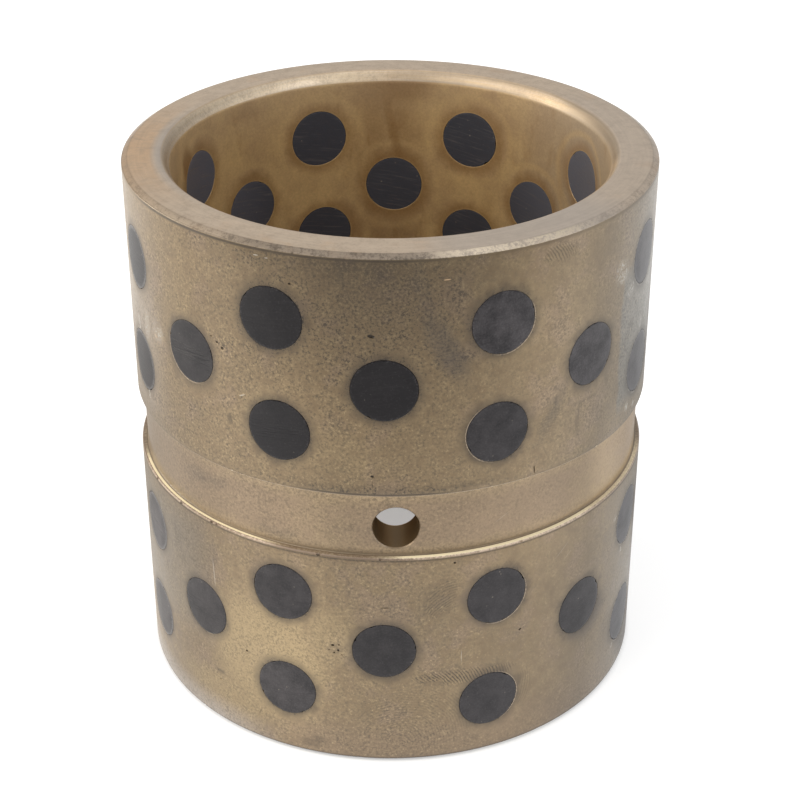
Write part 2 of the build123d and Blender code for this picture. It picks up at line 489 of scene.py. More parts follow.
def paintPatches(sleeve):
    at = points(sleeve)
    for name, marks in paintedMarks.items():
        writeAttribute(sleeve, name, np.max([coverOf(at, mark, softness[name]) for mark in marks], axis=0))
    printed = np.zeros(len(at))
    ridge = np.zeros(len(at))
    for mark, (aside, above) in fingerMarks:
        cover = coverOf(at, mark, softness["printed"])
        across, up = offsetFrom(at, mark)
        ridge = np.where(cover > printed, np.hypot(across - aside, up - above), ridge)
        printed = np.maximum(printed, cover)
    writeAttribute(sleeve, "printed", printed)
    writeAttribute(sleeve, "ridge", ridge)


sleeve = makeSleeve()
print("sleeve turned:", len(sleeve.data.polygons), "faces")
drillSeats(sleeve)
markPlugGap(sleeve)
paintPatches(sleeve)
print("seats and oil hole drilled:", len(sleeve.data.polygons), "faces")


# graphite plugs

plugForm = {
    "sides": 96,
    "edge": 0.05 * mm,
    "rings": (0.25 * mm, 0.8 * mm, 1.1 * mm, 1.3 * mm),
    "chips": (9, 18),  # fewest and one past the most round each end
    "chipWidth": (0.02, 0.12),  # in radians of the rim
    "deepestChip": 0.2 * mm,
    "chippedRim": 0.2 * mm,
    "seed": 7,
}
# how dusty a plug's outer end is, with a painted sheen on the outermost plugs, and how deeply it is scored, each from
# 0 to 1; the rest get theirs by chance
plugWear = {
    18: (0.05, 0.2), 11: (0.85, 0.1), 12: (0.9, 0.1), 17: (0.2, 0.3), 28: (0.3, 1), 21: (0, 0.1), 22: (1, 0.2),
    38: (0.05, 0.4), 31: (0.45, 0.1), 32: (1, 0.2), 37: (0.3, 0.2), 48: (0.5, 0.2), 41: (0.45, 0.1), 42: (0.8, 0.3),
    51: (0.3, 0.2), 52: (0.5, 0.2), 58: (0.5, 0.3), 68: (0.75, 0.3), 61: (0.5, 0.1), 62: (0.7, 0.2), 47: (1, 0.3),
    67: (0.8, 0.3),
}


def makePlug():
    f = plugForm
    plug = barAcrossWall("plug", plugRadius, f["sides"], boreRadius, outerRadius, f["rings"])
    middle = (boreRadius + outerRadius) / 2

    def onRim(edge):
        first, second = edge.verts
        nearRim = min(hypot(vert.co.x, vert.co.z) for vert in edge.verts) > plugRadius * 0.999
        return nearRim and (first.co.y + middle) * (second.co.y + middle) > 0
    openMesh(plug)
    pick("EDGE", lambda edge, at: onRim(edge))
    bpy.ops.mesh.bevel(offset=f["edge"], segments=2, affect="EDGES")
    closeMesh()
    return plug


def chipEdge(plug, dice, dustAndSheen, scored):
    # small chips round the rim, each plug with its own
    f = plugForm
    at = points(plug)
    radius = np.hypot(at[:, 0], at[:, 2])
    angle = np.arctan2(at[:, 2], at[:, 0])
    outerEnd = at[:, 1] < -(boreRadius + outerRadius) / 2
    for end in (outerEnd, ~outerEnd):
        depth = np.zeros(len(at))
        for _ in range(dice.integers(*f["chips"])):
            centre, width = dice.uniform(-pi, pi), dice.uniform(*f["chipWidth"])
            away = np.abs((angle - centre + pi) % fullTurn - pi)
            depth += dice.uniform(0.2, 1) ** 2 * f["deepestChip"] * np.clip(1 - away / width, 0, 1)
        rim = end & (radius > plugRadius - f["chippedRim"]) & (radius > hair)
        scale = np.where(rim, 1 - depth / np.maximum(radius, hair), 1)
        at[:, 0] *= scale
        at[:, 2] *= scale
    plug.data.vertices.foreach_set("co", at.astype(np.float32).ravel())
    writeAttribute(plug, "rimGap", (plugRadius - np.hypot(at[:, 0], at[:, 2])) / mm)
    writeAttribute(plug, "dustAndSheen", np.full(len(at), dustAndSheen))
    writeAttribute(plug, "scored", scored * np.clip(1.7 - np.abs(at[:, 2] / mm + 0.3) / 1.3, 0, 1))
    onPlug = plug.data.attributes.new("onPlug", "FLOAT_VECTOR", "POINT")
    lie = at[:, [0, 2, 1]] / mm + dice.uniform(0, 50) * np.array([1, 1, 0])
    onPlug.data.foreach_set("vector", lie.astype(np.float32).ravel())


model = makePlug()
plugs = []
dice = np.random.default_rng(plugForm["seed"])
for node, place in plugPlaces.items():
    plug = copyOf(model, node + "_finish", Matrix.Identity(4))
    chipEdge(plug, dice, *plugWear.get(plugNumber(node), dice.uniform(0, 0.9, 2)))
    plug.data.transform(placeOn(*place))
    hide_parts(node)
    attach(plug, "root")
    plugs.append(plug)
throwAway(model)
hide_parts("sleeve")
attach(sleeve, "root")
print("plugs fitted:", len(plugs))

for piece in [sleeve] + plugs:
    take(piece)
    bpy.ops.object.shade_smooth_by_angle(angle=radians(28))


# shader maths: a socket with Python's operators

def feed(node, name, value):
    # a signal is linked to the node's input, and anything else is its value
    if isinstance(value, Signal):
        value.tree.links.new(value.socket, node.inputs[name])
    else:
        node.inputs[name].default_value = value


class Signal:
    def __init__(self, socket):
        self.socket = socket
        self.tree = socket.id_data

    def node(self, kind, settings=None, inputs=None, out=0):
        # any node: its settings are set first, then each input gets a value or a link
        made = self.tree.nodes.new("ShaderNode" + kind)
        for name, value in (settings or {}).items():
            setattr(made, name, value)
        for name, value in (inputs or {}).items():
            feed(made, name, value)
        return Signal(made.outputs[out])

    def maths(self, operation, *others):
        return self.node("Math", {"operation": operation}, dict(enumerate((self, *others))))

    def vectorMaths(self, operation, inputs=None, out=0):
        return self.node("VectorMath", {"operation": operation}, {0: self, **(inputs or {})}, out)

    def __add__(self, other):
        return self.maths("ADD", other)

    def __mul__(self, other):
        return self.maths("MULTIPLY", other)

    def __sub__(self, other):
        return self.maths("SUBTRACT", other)

    def __truediv__(self, other):
        return self.maths("DIVIDE", other)

    def __rsub__(self, other):
        return self.node("Math", {"operation": "SUBTRACT"}, {0: other, 1: self})

    def __rtruediv__(self, other):
        return self.node("Math", {"operation": "DIVIDE"}, {0: other, 1: self})

    def __neg__(self):
        return self * -1

    __radd__ = __add__
    __rmul__ = __mul__

    def most(self, *others):
        found = self
        for other in others:
            found = found.maths("MAXIMUM", other)
        return found

    def least(self, other):
        return self.maths("MINIMUM", other)

    def rise(self, start, end, top=1):
        # 0 before start and top past end, eased; falls where end is the smaller one
        ends = {"Value": self, "From Min": start, "From Max": end, "To Max": top}
        return self.node("MapRange", {"interpolation_type": "SMOOTHSTEP"}, ends)

    def band(self, low, high, soft):
        return self.rise(low - soft / 2, low + soft / 2) * self.rise(high + soft / 2, high - soft / 2)

    def near(self, centre, width):
        # a soft bump of height 1 at centre
        return (self - centre).maths("ABSOLUTE").rise(width, 0)

    def times(self, factor):
        # a vector or colour, longer or brighter
        return self.vectorMaths("SCALE", {"Scale": factor})

    def plus(self, other):
        return self.vectorMaths("ADD", {1: other})

    def stretched(self, factors):
        return self.vectorMaths("MULTIPLY", {1: factors})

    def dot(self, other):
        return self.vectorMaths("DOT_PRODUCT", {1: other}, out=1)

    def length(self):
        return self.vectorMaths("LENGTH", out=1)

    def parts(self):
        split = self.node("SeparateXYZ", inputs={0: self})
        return [Signal(socket) for socket in split.socket.node.outputs]

    def vector(self, x, y, z):
        return self.node("CombineXYZ", inputs={"X": x, "Y": y, "Z": z})

    def turned(self, degrees, scale):
        # this vector in axes that are turned about Z and longer by scale
        axes = {"Vector": self, "Rotation": (0, 0, radians(degrees)), "Scale": scale}
        return self.node("Mapping", {"vector_type": "TEXTURE"}, axes)

    def shaking(self, size, detail, reach):
        # a vector that wanders by up to about reach, to make outlines ragged
        made = self.node("TexNoise", inputs={"Vector": self, "Scale": 1 / size, "Detail": detail}, out=1)
        return made.plus((-0.5, -0.5, -0.5)).times(2 * reach)

    def grain(self, size, detail=2, rough=0.5):
        # cloudy pattern from -1 to 1 on this vector, its features about size long
        made = self.node("TexNoise", inputs={"Vector": self, "Scale": 1 / size, "Detail": detail, "Roughness": rough})
        return (made - 0.5) * 2

    def specks(self, size, share):
        # scattered round spots: 1 inside a spot, 0 outside
        made = self.node("TexVoronoi", inputs={"Vector": self, "Scale": 1 / size})
        return made.rise(share, share * 0.5)

    def painted(self, name, out=2):
        # what was painted on the mesh under this name
        return self.node("Attribute", {"attribute_name": name}, out=out)


def mix(factor, first, second):
    return factor.node("Mix", {"data_type": "RGBA"}, {0: factor, 6: first, 7: second}, out=2)


def newMaterial(name):
    # gives the material, its shader and the place on the piece in mm
    material = bpy.data.materials.new(name)
    material.use_nodes = True
    nodes = material.node_tree.nodes
    place = Signal(nodes.new("ShaderNodeTexCoord").outputs["Object"]).times(1 / mm)
    return material, nodes["Principled BSDF"], place


def feedHeight(shader, height):
    feed(shader, "Normal", height.node("Bump", inputs={"Height": height, "Distance": mm, "Strength": 1}))


def colour(red, green, blue):
    return (red, green, blue, 1)


def markOn(at, mark, soft):
    angle, height, halfWidth, halfHeight, tilt, strength = mark
    offset = at.plus((-radians(angle) * outerRadius / mm, -height, 0))
    if tilt:
        c, s = cos(radians(tilt)), sin(radians(tilt))
        across = offset.dot((c / halfWidth, s / halfWidth, 0))
        along = offset.dot((-s / halfHeight, c / halfHeight, 0))
        return (across * across + along * along).rise(1, (1 - soft) ** 2, strength)
    return offset.stretched((1 / halfWidth, 1 / halfHeight, 0)).length().rise(1, 1 - soft, strength)


def marksOn(at, marks, soft):
    found = markOn(at, marks[0], soft)
    for mark in marks[1:]:
        found = found.most(markOn(at, mark, soft))
    return found


# bronze

bronzeLook = {
    "tanSkin": colour(0.292, 0.214, 0.121),  # dull oxide on the outer wall
    "brownSkin": colour(0.19, 0.134, 0.077),
    "pinkSkin": colour(0.252, 0.182, 0.12),
    "goldSkin": colour(0.36, 0.271, 0.147),
    "paleGrain": colour(0.44, 0.34, 0.196),
    "sootAndShade": colour(0.032, 0.024, 0.018),  # graphite dust worked into the skin, and the colour of painted shade and dark reflection
    "smudgeAndShade": colour(0.108, 0.09, 0.076),
    "hazeAndReflection": colour(0.205, 0.197, 0.178),
    "chalk": colour(0.6, 0.57, 0.51),
    "copper": colour(0.62, 0.42, 0.25),
    "highlightGold": colour(1, 0.87, 0.6),  # painted highlight on edges
    "lip": colour(0.86, 0.74, 0.56),
    "burr": colour(0.225, 0.158, 0.11),
    "paleBurrAndHighlight": colour(0.72, 0.56, 0.43),
    # painted shade on the bottom bevel
    "shadedFoot": colour(0.082, 0.063, 0.047),
    "rim": colour(0.6, 0.48, 0.36),
    "rimBrown": colour(0.35, 0.27, 0.195),
    "rimTan": colour(0.6, 0.4, 0.235),
    "rimGrey": colour(0.43, 0.385, 0.35),
    "boreSkin": colour(0.44, 0.29, 0.14),
    "boreGold": colour(0.58, 0.395, 0.18),
    "boreGrey": colour(0.325, 0.256, 0.184),
    "oil": colour(0.225, 0.112, 0.03),
    "drilled": colour(0.23, 0.16, 0.085),
    "ridgeSpacing": 0.47,  # of a fingerprint, in mm
    "cloudSize": 17,  # patterns in the skin, from large to small, in mm
    "stainSize": 8,
    "driftSize": 6.5,
    "mottleSize": 2.1,
    "gritSize": 0.42,
    "metallic": 0.8,
    "roughness": 0.42,
    "coat": 0.36,  # a film of oil
    "coatRoughness": 0.22,
}
chalkMarks = (
    (54.4, 78.8, 2.4, 2.8, 30, 0.58), (58.7, 74.7, 1.6, 1.2, 32, 0.7), (66.6, 66.4, 0.6, 1.4, -20, 0.8),
    (60.6, 53.4, 1, 0.9, 22, 0.7), (65, 52.6, 0.9, 0.6, 0, 0.7), (-70.1, 65.5, 0.9, 2.9, -6, 0.85),
    (-58.5, 68.4, 2.2, 2.6, 10, 0.52), (-64, 67.6, 1.4, 3.4, -10, 0.46), (-65.7, 54.9, 0.5, 1.8, 10, 0.75),
    (-1.5, 80.9, 0.18, 0.16, 0, 0.9), (-0.6, 78.7, 0.16, 0.14, 0, 0.9), (58.5, 33.3, 0.8, 0.9, 0, 0.7),
    (63.2, 25, 0.9, 0.8, 0, 0.7), (61.7, 6, 0.8, 0.6, 20, 0.5), (-63.5, 33.5, 0.4, 3.2, 6, 0.45),
    (128, 76, 1.8, 0.4, 25, 0.5), (-118, 41, 0.9, 0.3, -30, 0.5), (170, 57, 0.5, 1.6, 10, 0.4),
)
# thin and straight
scratchMarks = (
    (-27.7, 88.15, 0.5, 0.08, 4, 0.8), (-25.4, 88, 0.35, 0.07, 6, 0.7), (38.4, 34.6, 2.2, 0.07, 38, 0.16),
    (40.4, 33.3, 1.6, 0.06, 38, 0.12), (-32.3, 64.6, 0.7, 0.1, 25, 0.5), (-42.8, 29.7, 0.1, 3.2, 3, 0.35),
    (-2.2, 66.4, 0.55, 0.09, -8, 0.7), (23, 44, 1.8, 0.07, 30, 0.12), (14, 20, 0.07, 1.6, 0, 0.3),
    (41, 71, 0.9, 0.08, 50, 0.4), (-47, 19, 1, 0.08, -20, 0.35), (100, 22, 2.5, 0.1, 20, 0.5),
    (-125, 68, 3, 0.1, -35, 0.5), (165, 48, 2.2, 0.09, 12, 0.5),
)
copperMarks = ((9.8, 86, 0.66, 0.11, 3, 0.85), (-59.5, 67.3, 0.6, 0.4, 0, 0.3), (148, 52, 0.8, 0.12, 10, 0.6))


def makeBronze():
    look = bronzeLook
    material, shader, place = newMaterial("cast_bronze")
    x, y, z = place.parts()
    radius = (x * x + y * y).maths("SQRT")
    turn = x.maths("ARCTAN2", -y)
    angle = turn * (180 / pi)  # in degrees
    east, north = x / radius, y / radius
    onWall = place.vector(turn * (outerRadius / mm), z, 0)
    ragged = onWall.plus(place.shaking(0.8, 3, 0.6))
    painted = place.painted
    gap = painted("plugGap")

    def onRight(start, end):
        return angle.rise(start, end) * angle.rise(150, 110)

    # which part of the section
    bore, floor, wall = boreRadius / mm, floorRadius / mm, outerRadius / mm
    low, high, top = grooveLow / mm, grooveHigh / mm, sleeveLength / mm
    outside = radius.rise(floor - 0.35, floor - 0.15)
    inBore = radius.rise(bore + 0.45, bore + 0.08)
    groove = outside * z.band(low + 0.05, high - 0.05, 0.2) * radius.rise(floor + 0.45, floor + 0.1)
    rim = z.rise(top - 0.7, top - 0.54).most(z.rise(0.7, 0.54))
    leadIn = radius.rise(bore + 1.35, bore + 1.05) * z.rise(top - 1.8, top - 1.6).most(z.rise(1.8, 1.6))
    cavity = radius.rise(wall - 0.06, wall - 0.16) * z.band(0.75, top - 0.75, 0.1)
    cavity = cavity * (1 - z.band(low - 0.25, high + 0.25, 0.1))
    # the bottom bevel, painted dark as shade
    shadedFoot = z.rise(0.8, 0.64)

    # patterns in the skin
    clouds = place.grain(look["cloudSize"], 2)
    drift = place.grain(look["driftSize"], 3, 0.6)
    mottle = place.grain(look["mottleSize"], 3, 0.6)
    grit = place.grain(look["gritSize"], 2, 0.75)
    turned = place.vector(east * 3, north * 3, radius * 2.2 + z * 6).grain(1, 3, 0.6)

    # outer wall: dull oxide in tan and brown, pinker in the groove, golden in patches
    gritty = 0.66 + drift.rise(-0.4, 0.4) * 0.14 + angle.band(-60, 14, 26) * 0.42 - painted("golden") * 0.25
    gritty = gritty * (0.76 + z.rise(36, 50) * 0.24 - z.rise(72, 84) * 0.1) * (1 - groove * 0.36)
    skin = mix((mottle * 0.9 + grit * 0.85).rise(-0.52, 0.52), look["brownSkin"], look["tanSkin"])
    pink = (drift.rise(0, 0.36) * 0.62).most(groove * 0.74, z.rise(11, 3) * angle.band(-24, 62, 16) * 0.6)
    skin = mix(pink, skin, look["pinkSkin"])
    golden = painted("golden") + mottle * 0.22 + groove * (z - 45).maths("ABSOLUTE").rise(1.5, 5, 0.45)
    skin = mix(golden.rise(0.1, 0.95) * 0.72, skin, look["goldSkin"])
    # a painted reflection with a sharp edge on the right of the upper land, and grey haze at the right and the left
    side = (angle + drift * 1.6 + mottle * 0.8).rise(53.6, 56.2) * angle.rise(105, 80)
    side = side * z.rise(82, 76) * z.rise(50, 57)
    hazeAndReflectionCover = (side * 0.85).most(onRight(25, 75) * (1 - groove) * 0.46,
                              angle.band(-110, -46, 14) * z.band(16, 38, 8) * 0.32)
    skin = mix(hazeAndReflectionCover, skin, look["hazeAndReflection"])
    # painted pale reflection of the floor low on the left, and pale scuffs high on the left
    paleReflectionAndScuffs = (z.rise(6, 0.5) * angle.band(-110, -34, 24) * 0.75).most(
        angle.band(-110, -59, 14) * z.band(50, 74, 12) * 0.34)
    skin = mix(paleReflectionAndScuffs, skin, look["rimGrey"])
    # lighter or darker by place: the groove lighter, most at the right, and the lower land darker at the front right
    skin = skin.times(0.98 - z.rise(38, 30) * angle.band(-12, 62, 20) * 0.11 + clouds * 0.14
                      + groove * (0.06 + onRight(38, 78) * 0.74) + z.rise(48, 56) * 0.07
                      + drift * angle.band(16, 120, 16) * 0.16 + z.rise(59, 52) * angle.band(50, 74, 8) * 0.25
                      + (angle + 4).near(0, 13) * z.band(48.8, 50.5, 0.6) * 0.12 + (angle + 21).near(0, 11) * 0.12)
    skin = mix(grit.rise(-0.12, -0.48) * gritty * 0.5, skin, look["paleGrain"])
    # smudges, and painted shade along the right edge
    smudgedAndShaded = (painted("smudgeAndShade") + drift * 0.24 + mottle * 0.22 + grit * 0.1).rise(0.05, 0.85)
    skin = mix(smudgedAndShaded * 0.74, skin, look["smudgeAndShade"])

    # soot round the plugs and in the grain, dark pits and patches, dark lines under the top bevel and the lower
    # shoulder, and the painted shade and dark reflection noted below
    # painted dark reflection and grime under the rim at the front
    grimeAndDarkReflection = z.rise(60, 88) * (angle + 7).near(0, 39) * (0.4 + drift * 0.22)
    grimeAndDarkReflection = grimeAndDarkReflection + z.rise(84.5, 88) * angle.band(-52, 2, 16) * 0.1
    # painted shade in a band above the upper lip at the front
    lip = z.near(high + 1, 1.3) * angle.band(-20, 20, 24) * 0.24
    specks = (grit + mottle * 0.28).rise(-0.18, 0.42) * gritty * 0.58
    halo = (gap + mottle * 0.5 + grit * 1.4).rise(0.7, -0.35) * 0.8
    halo = halo.most((gap + mottle * 1.2 + grit * 1.9).rise(1.6, 0) * 0.4)
    sootAndShade = (grimeAndDarkReflection + halo + lip + specks).least(specks.most(halo, grimeAndDarkReflection) + 0.25)
    sootAndShade = sootAndShade.most((painted("sootAndShade") + mottle * 0.2 + grit * 0.34).rise(0.1, 0.85) * 0.85)
    underBevel = z.near(top - 0.88, 0.55) * outside * (0.34 + angle.band(-64, 8, 18) * 0.5)
    # painted shade in the crease of the groove's lower fillet
    fillet = z.near(low + 0.16, 0.3) * radius.rise(floor + 0.5, floor + 0.3)
    ledge = (z.near(low - 0.48, 0.34) * (0.62 + grit * 0.6)).most(fillet * 0.28) * outside
    # painted shade along the bottom edge at the front, and in a line just above the upper lip, darkest at the front
    sootAndShade = sootAndShade.most(underBevel, ledge, cavity * 0.95, z.rise(1.2, 0.72) * angle.band(-32, 58, 10) * 0.34,
                     z.near(high + 0.4, 0.34) * (0.16 + angle.band(-20, 11, 12) * 0.62))
    outer = mix(sootAndShade, skin, look["sootAndShade"])

    # finger marks, chalky patches and scratches
    ridges = (painted("ridge") + drift * 0.8 + mottle * 0.22) * (fullTurn / look["ridgeSpacing"])
    printed = ridges.maths("SINE").rise(-0.5, 0.8) * painted("printed") * (mottle + grit).rise(-0.8, 0.25)
    outer = mix(printed * 0.76, outer, look["sootAndShade"])
    chalk = marksOn(ragged, chalkMarks, 0.7).most(
        (gap + mottle * 0.4).near(0.15, 0.35) * angle.band(56, 120, 14) * 0.42)
    chalk = (chalk * (mottle * 0.7 + grit * 1.6).rise(-0.35, 0.65)).most(marksOn(onWall, scratchMarks, 0.6))
    outer = mix(chalk, outer, look["chalk"])
    rubbed = painted("worn") * (gap + mottle * 0.06).near(0.12, 0.14) * (0.46 + grit * 0.7)
    outer = mix(rubbed, outer, look["rim"])
    outer = mix(marksOn(onWall, copperMarks, 0.5), outer, look["copper"])

    # ends, turned, then greyer, tanner and darker by place
    spokes = place.vector(east * 30, north * 30, radius * 0.35).grain(1, 3, 0.7)
    left = (angle + 88).near(0, 42)
    bevel = radius.rise(wall - 1.08, wall - 0.9)
    face = mix((mottle * 0.6 + grit).rise(-0.3, 0.5) * 0.6, look["rim"], look["rimBrown"])
    tan = (left * 0.85).most(drift.rise(0.1, 0.5) * 0.4) * radius.rise(36.8, 38.4)
    face = mix(tan, face, look["rimTan"])
    face = mix(left * (spokes + grit * 0.3).rise(-0.1, 0.5) * 0.6, face, look["rimBrown"])
    face = mix(angle.band(8, 52, 14) * 0.45 + left * radius.rise(38.2, 36.8) * 0.55, face, look["rimGrey"])
    face = mix(angle.band(30, 125, 24) * 0.25, face, look["rimGrey"])
    face = face.times(1.08 + turned * 0.16 + grit * 0.26)
    # the outer bevel darker at the front and the left, and in the grain
    bevelDarkening = angle.band(-110, 9, 14) * 0.34 + angle.band(-33, 7, 12) * 0.28 + (grit + mottle).rise(-0.2, 0.6) * 0.22
    face = mix(bevel * bevelDarkening, face, look["sootAndShade"])
    # dark lines along the bevel's inner edge, and along its outer edge at the left
    corners = (radius + mottle * 0.12 + grit * 0.1).near(wall - 1, 0.24) * 0.15
    corners = corners + radius.rise(wall - 0.26, wall - 0.1) * angle.band(-130, -30, 20) * 0.35
    face = mix(corners, face, look["sootAndShade"])

    # bore, brown with the oil that the plugs hold
    stain = place.grain(look["stainSize"], 3, 0.6)
    streaks = place.vector(east * 13, north * 13, z * 0.14).grain(1, 3, 0.6)
    fromBack = angle.maths("ABSOLUTE")
    inner = mix(stain.rise(-0.4, 0.45), look["boreSkin"], look["boreGold"])
    inner = mix(angle.near(106, 50) * 0.95, inner, look["boreGrey"])
    inner = mix(streaks.rise(0.05, 0.5) * 0.3 + fromBack.near(176, 10) * 0.3, inner, look["oil"])
    bright = ((gap + stain * 0.8).near(2.9, 1.1) * 0.35).most(painted("golden") * 0.5)
    inner = mix(bright, inner, look["boreGold"])
    inner = mix((gap + stain * 1.1 + mottle * 0.5).rise(2.5, 0.2) * 0.52, inner, look["oil"])
    inner = mix((painted("stained") + mottle * 0.1).rise(0.05, 0.8) * 0.9, inner, look["oil"])
    inner = mix(gap.near(0.05, 0.3) * 0.36, inner, look["boreGold"])
    # the bore lighter towards its top end
    inner = mix(z.rise(78, 89) * 0.17, inner, look["rim"])
    inner = inner.times(1 + grit * 0.26 + mottle * 0.08)
    mouth = mix(turned.rise(-0.25, 0.35) * 0.6, look["rim"], look["boreGold"])
    # painted highlight on the lead-in at the back left
    mouth = mix(angle.band(-176, -98, 20) * 0.45, mouth, look["lip"])
    mouth = mix((grit + mottle * 0.6).rise(-0.4, 0.6) * 0.5, mouth, look["rimBrown"])
    # greyer at the left, and painted shade at the right that dims a lamp's highlight
    grey = (left * 0.6).most(angle.band(80, 124, 10) * 0.85, angle.band(137, 176, 14) * 0.55)
    mouth = mix(grey, mouth, look["boreGrey"])

    # the groove's edges: burr, a pale upper lip and painted highlights; and the drilled oil hole
    edges = radius.rise(floor + 0.2, floor + 0.35) * outside
    shoulder = z.near(low - 0.08, 0.42) * edges
    # the angles where the painted highlights fall, and worn spots at the back
    highlightAndWear = angle.band(-76, -28, 10).most(angle.band(-1, 49, 12), angle.band(45, 78, 10) * 0.55,
                                          fromBack.rise(80, 100) * drift.rise(-0.1, 0.3))
    paleness = 0.8 + grit * 1.3 - angle.band(-100, -34, 16) * 0.74 - angle.near(-1, 8) * 0.6
    burr = mix(highlightAndWear * paleness, look["burr"], look["paleBurrAndHighlight"])
    # painted highlight along the crest of the lower shoulder, and below on the top bevel
    crestHighlight = z.near(low, 0.16) * edges * (radius + angle.band(-100, -22, 12) * 0.15).rise(wall - 0.1, wall - 0.2)
    crestHighlight = crestHighlight * (highlightAndWear * (1 - angle.near(-3, 5) * 0.4) + 0.08 + grit * 0.35)
    # a pale line on the upper lip: painted highlight and worn edge
    upperLip = z.near(high + 0.06, 0.17) * edges * (1 - angle.near(-3, 16) * 0.6)
    plain = (shoulder.most(upperLip, chalk * outside, fillet) * 0.5).most(shadedFoot, crestHighlight)
    crestHighlight = crestHighlight.most(rim * bevel * angle.band(9, 40, 12) * (grit * 1.2 + mottle * 0.3).rise(0.4, -0.35) * 0.3)
    hole = outside.most(inBore).maths("LESS_THAN", 0.5) * z.band(36, 54, 1)

    made = inner
    for cover, layer in ((outside, outer), (leadIn, mouth), (rim * radius.rise(bore + 1, bore + 1.5), face),
                         (shoulder * (0.9 + grit * 0.4), burr), (upperLip * 0.85, look["lip"]),
                         (shadedFoot * 0.9, look["shadedFoot"]), (crestHighlight, look["highlightGold"]), (hole, look["drilled"])):
        made = mix(cover, made, layer)
    feed(shader, "Base Color", made)

    dirtAndShade = sootAndShade * outside * (1 - rim)
    smudgeAndShadeCover = painted("smudgeAndShade") * outside * (1 - rim)
    metallic = look["metallic"] - inBore * 0.52 - rim * 0.2 - dirtAndShade * 0.55 - plain - smudgeAndShadeCover * 0.4
    roughness = look["roughness"] + mottle * 0.05 + grit * 0.06 + inBore * 0.06 + dirtAndShade * 0.12
    roughness = roughness + rim * 0.04 - leadIn * 0.02
    coat = look["coat"] - inBore * 0.08 - dirtAndShade * 0.15 - leadIn * 0.1 - shadedFoot - smudgeAndShadeCover * 0.28
    feed(shader, "Metallic", metallic.most(0))
    feed(shader, "Roughness", roughness)
    feed(shader, "Coat Weight", coat.most(0))
    feed(shader, "Coat Roughness", look["coatRoughness"])
    feedHeight(shader, grit * 0.004 + mottle * 0.006 + turned * rim * 0.003)
    return material


# graphite

graphiteLook = {
    "body": colour(0.0085, 0.0072, 0.009),
    "ashen": colour(0.135, 0.124, 0.13),  # dust, and the painted sheen of the outermost plugs
    "sideDustAndSheen": colour(0.2, 0.193, 0.198),
    "scratch": colour(0.105, 0.097, 0.1),
    "crumb": colour(0.32, 0.28, 0.23),
    "boreBody": colour(0.046, 0.049, 0.063),
    "gritSize": 0.3,  # in mm
    "cloudSize": 3.2,
    "roughness": 0.4,
    "coatRoughness": 0.3,
    "specular": 0.26,
}


def makeGraphite():
    look = graphiteLook
    material, shader, place = newMaterial("pressed_graphite")
    x, y, z = place.parts()
    radius = (x * x + y * y).maths("SQRT")
    angle = x.maths("ARCTAN2", -y) * (180 / pi)
    onPlug = place.painted("onPlug", 1)
    rimGap = place.painted("rimGap")
    boreEnd = radius.rise(boreRadius / mm + 0.6, boreRadius / mm + 0.3)
    grit = place.grain(look["gritSize"], 3, 0.7)
    cloud = place.grain(look["cloudSize"], 3, 0.6)

    # scores and strokes of the tool that cut the plug's ends
    lines = onPlug.turned(6, (16, 0.62, 1)).grain(1, 1, 0.5)
    cross = onPlug.turned(10, (7, 0.34, 1)).grain(1, 3, 0.7)
    scored = lines.near(0.05, 0.12) * place.painted("scored") * (1 - boreEnd) * rimGap.rise(0.1, 0.7)
    strokes = cross.rise(0.05, 0.42) * (0.05 + boreEnd * (0.65 + angle.band(-150, -90, 20) * 0.55))

    # dust over the body, with a painted sheen at the sides and round the side plugs' rims
    crumbs = place.specks(1.5, 0.12) * cloud.rise(-0.1, 0.4)
    right = angle.rise(42, 72) * angle.rise(150, 110)
    dustAndSheenCover = (cloud.rise(-0.6, 0.6) * 0.6 + grit.rise(-0.55, 0.75) * 0.4) * (place.painted("dustAndSheen") * 0.88 + 0.06)
    body = mix(dustAndSheenCover + grit.rise(0.1, 0.5) * 0.11, look["body"], look["ashen"])
    body = mix(right * (0.5 + cloud * 0.4 + grit * 0.5), body, look["sideDustAndSheen"])
    ringed = (rimGap + grit * 0.9 + cloud * 0.5).rise(0.75, -0.1) * right.most(angle.band(-120, -58, 14))
    body = mix(ringed * 0.65, body, look["sideDustAndSheen"])
    body = mix(boreEnd * (0.95 + grit * 0.3), body, look["boreBody"])
    body = body.times(1 + boreEnd * angle.maths("ABSOLUTE").rise(152, 126) * 0.8)
    body = mix(strokes, body, look["scratch"])
    body = mix(scored * 0.95, body, look["body"])
    body = mix(rimGap.near(0.12, 0.35) * grit.rise(-0.05, 0.35) * 0.3, body, look["scratch"])
    body = mix(crumbs * 0.55, body, look["crumb"])
    feed(shader, "Base Color", body)
    feed(shader, "Roughness", look["roughness"] + grit * 0.1 + cloud * 0.05)
    feed(shader, "Coat Weight", boreEnd * 0.6)
    feed(shader, "Coat Roughness", look["coatRoughness"])
    feed(shader, "Specular IOR Level", look["specular"])
    feedHeight(shader, grit * 0.006 - scored * 0.03 - strokes * 0.02)
    return material


bronze = makeBronze()
graphite = makeGraphite()
for piece, material in [(sleeve, bronze)] + [(plug, graphite) for plug in plugs]:
    piece.data.materials.clear()
    piece.data.materials.append(material)
print("materials made")


# studio: floor, lamps, white surroundings and the camera

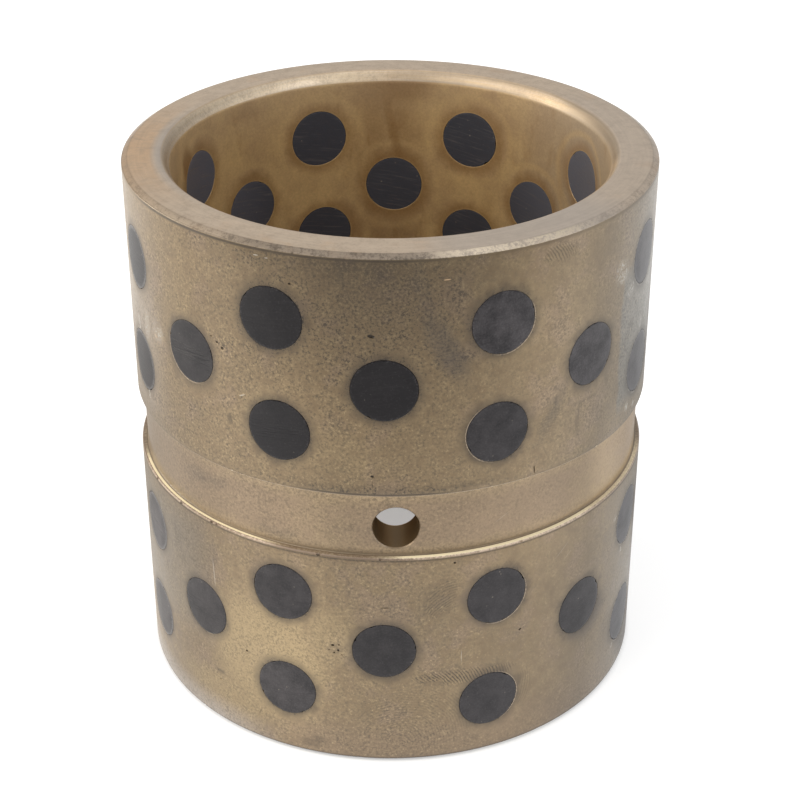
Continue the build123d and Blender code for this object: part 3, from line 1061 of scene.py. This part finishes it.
studio = {
    "surroundings": 0.42,
    "mirrored": 0.48,
    "floorPaint": 0.62,
    "floorSeen": (0.32, 0.31),  # glow of the white floor inside the bushing, and what it gains outside
    "floorGlow": (1.12, 0.52, 0.6),  # of the white floor, as polished metal shows it in front, beside and behind
    "lamps": (  # name, place, width and height, watts, tint
        ("overhead_softbox", (0, -0.05, 1.3), (1.2, 1.2), 3.5, (1, 1, 1)),
        ("front_softbox", (0, -1.3, 0.9), (1.2, 0.8), 1.3, (1, 1, 1)),
        ("right_softbox", (0.85, -0.66, 0.85), (0.4, 0.4), 2, (1, 1, 1)),
        ("left_softbox", (-0.9, -0.5, 0.75), (1, 1), 7.8, (1, 0.95, 0.86)),
        ("low_left_softbox", (-0.9, 0.25, 0.25), (0.5, 0.5), 5.6, (1, 0.93, 0.8)),
        ("low_right_softbox", (0.9, -0.2, 0.27), (0.5, 0.6), 1.5, (0.9, 0.95, 1)),
    ),
    "cameraPlace": (-0.00469, -0.27424, 0.19605),
    "cameraTurn": (pi / 2 - 0.50751, 0, radians(-1.3)),
    "lens": 82.48,
    "sensor": 36,
}


def rayKinds(tree):
    # 1 for rays that show the white surroundings as they are, and 1 for those that mirror them
    path = tree.nodes.new("ShaderNodeLightPath").outputs
    seen = Signal(path["Is Camera Ray"]).most(Signal(path["Is Transmission Ray"]))
    return seen, Signal(path["Is Glossy Ray"])


def makeFloor():
    bpy.ops.mesh.primitive_plane_add(size=6, location=(0, 0, 0))
    floor = newPiece("studio_floor")
    paint, shader, place = newMaterial("floor_paint")
    feed(shader, "Base Color", colour(*[studio["floorPaint"]] * 3))
    feed(shader, "Roughness", 0.9)
    feed(shader, "Emission Color", colour(1, 1, 1))
    seen, mirrored = rayKinds(place.tree)
    x, y, z = place.parts()
    inside, outside = studio["floorSeen"]
    seen = seen * (inside + (x * x + y * y).rise(1720, 1880, outside))
    near, side, back = studio["floorGlow"]
    behind = y.rise(0, 50)
    far = (1 - behind) * side + behind * (x * x + y * y).rise(13000, 29000, back)
    glow = seen.most(mirrored * (far + y.rise(-20, -50) * (near - far)) * y.rise(-170, -80))
    feed(shader, "Emission Strength", glow)
    paint.cycles.emission_sampling = "NONE"
    floor.data.materials.append(paint)


def makeStudio():
    scene = bpy.context.scene
    world = bpy.data.worlds.new("surroundings")
    scene.world = world
    world.use_nodes = True
    sky = world.node_tree.nodes["Background"]
    seen, mirrored = rayKinds(world.node_tree)
    strength = seen.most(mirrored * studio["mirrored"], studio["surroundings"])
    feed(sky, "Strength", strength)
    feed(sky, "Color", colour(1, 1, 1))
    makeFloor()

    for name, at, size, watts, tint in studio["lamps"]:
        lamp = bpy.data.lights.new(name, "AREA")
        lamp.shape = "RECTANGLE"
        lamp.size, lamp.size_y = size
        lamp.energy = watts
        lamp.color = tint
        holder = bpy.data.objects.new(name, lamp)
        holder.location = at
        middle = Vector((0, 0, sleeveLength / 2))
        holder.rotation_euler = (middle - Vector(at)).to_track_quat("-Z", "Y").to_euler()
        scene.collection.objects.link(holder)

    eye = bpy.data.objects.new("camera", bpy.data.cameras.new("camera"))
    eye.data.lens = studio["lens"]
    eye.data.sensor_width = studio["sensor"]
    eye.location = studio["cameraPlace"]
    eye.rotation_euler = studio["cameraTurn"]
    scene.collection.objects.link(eye)
    scene.camera = eye
    scene.view_settings.view_transform = "Standard"


makeStudio()
print("studio ready")
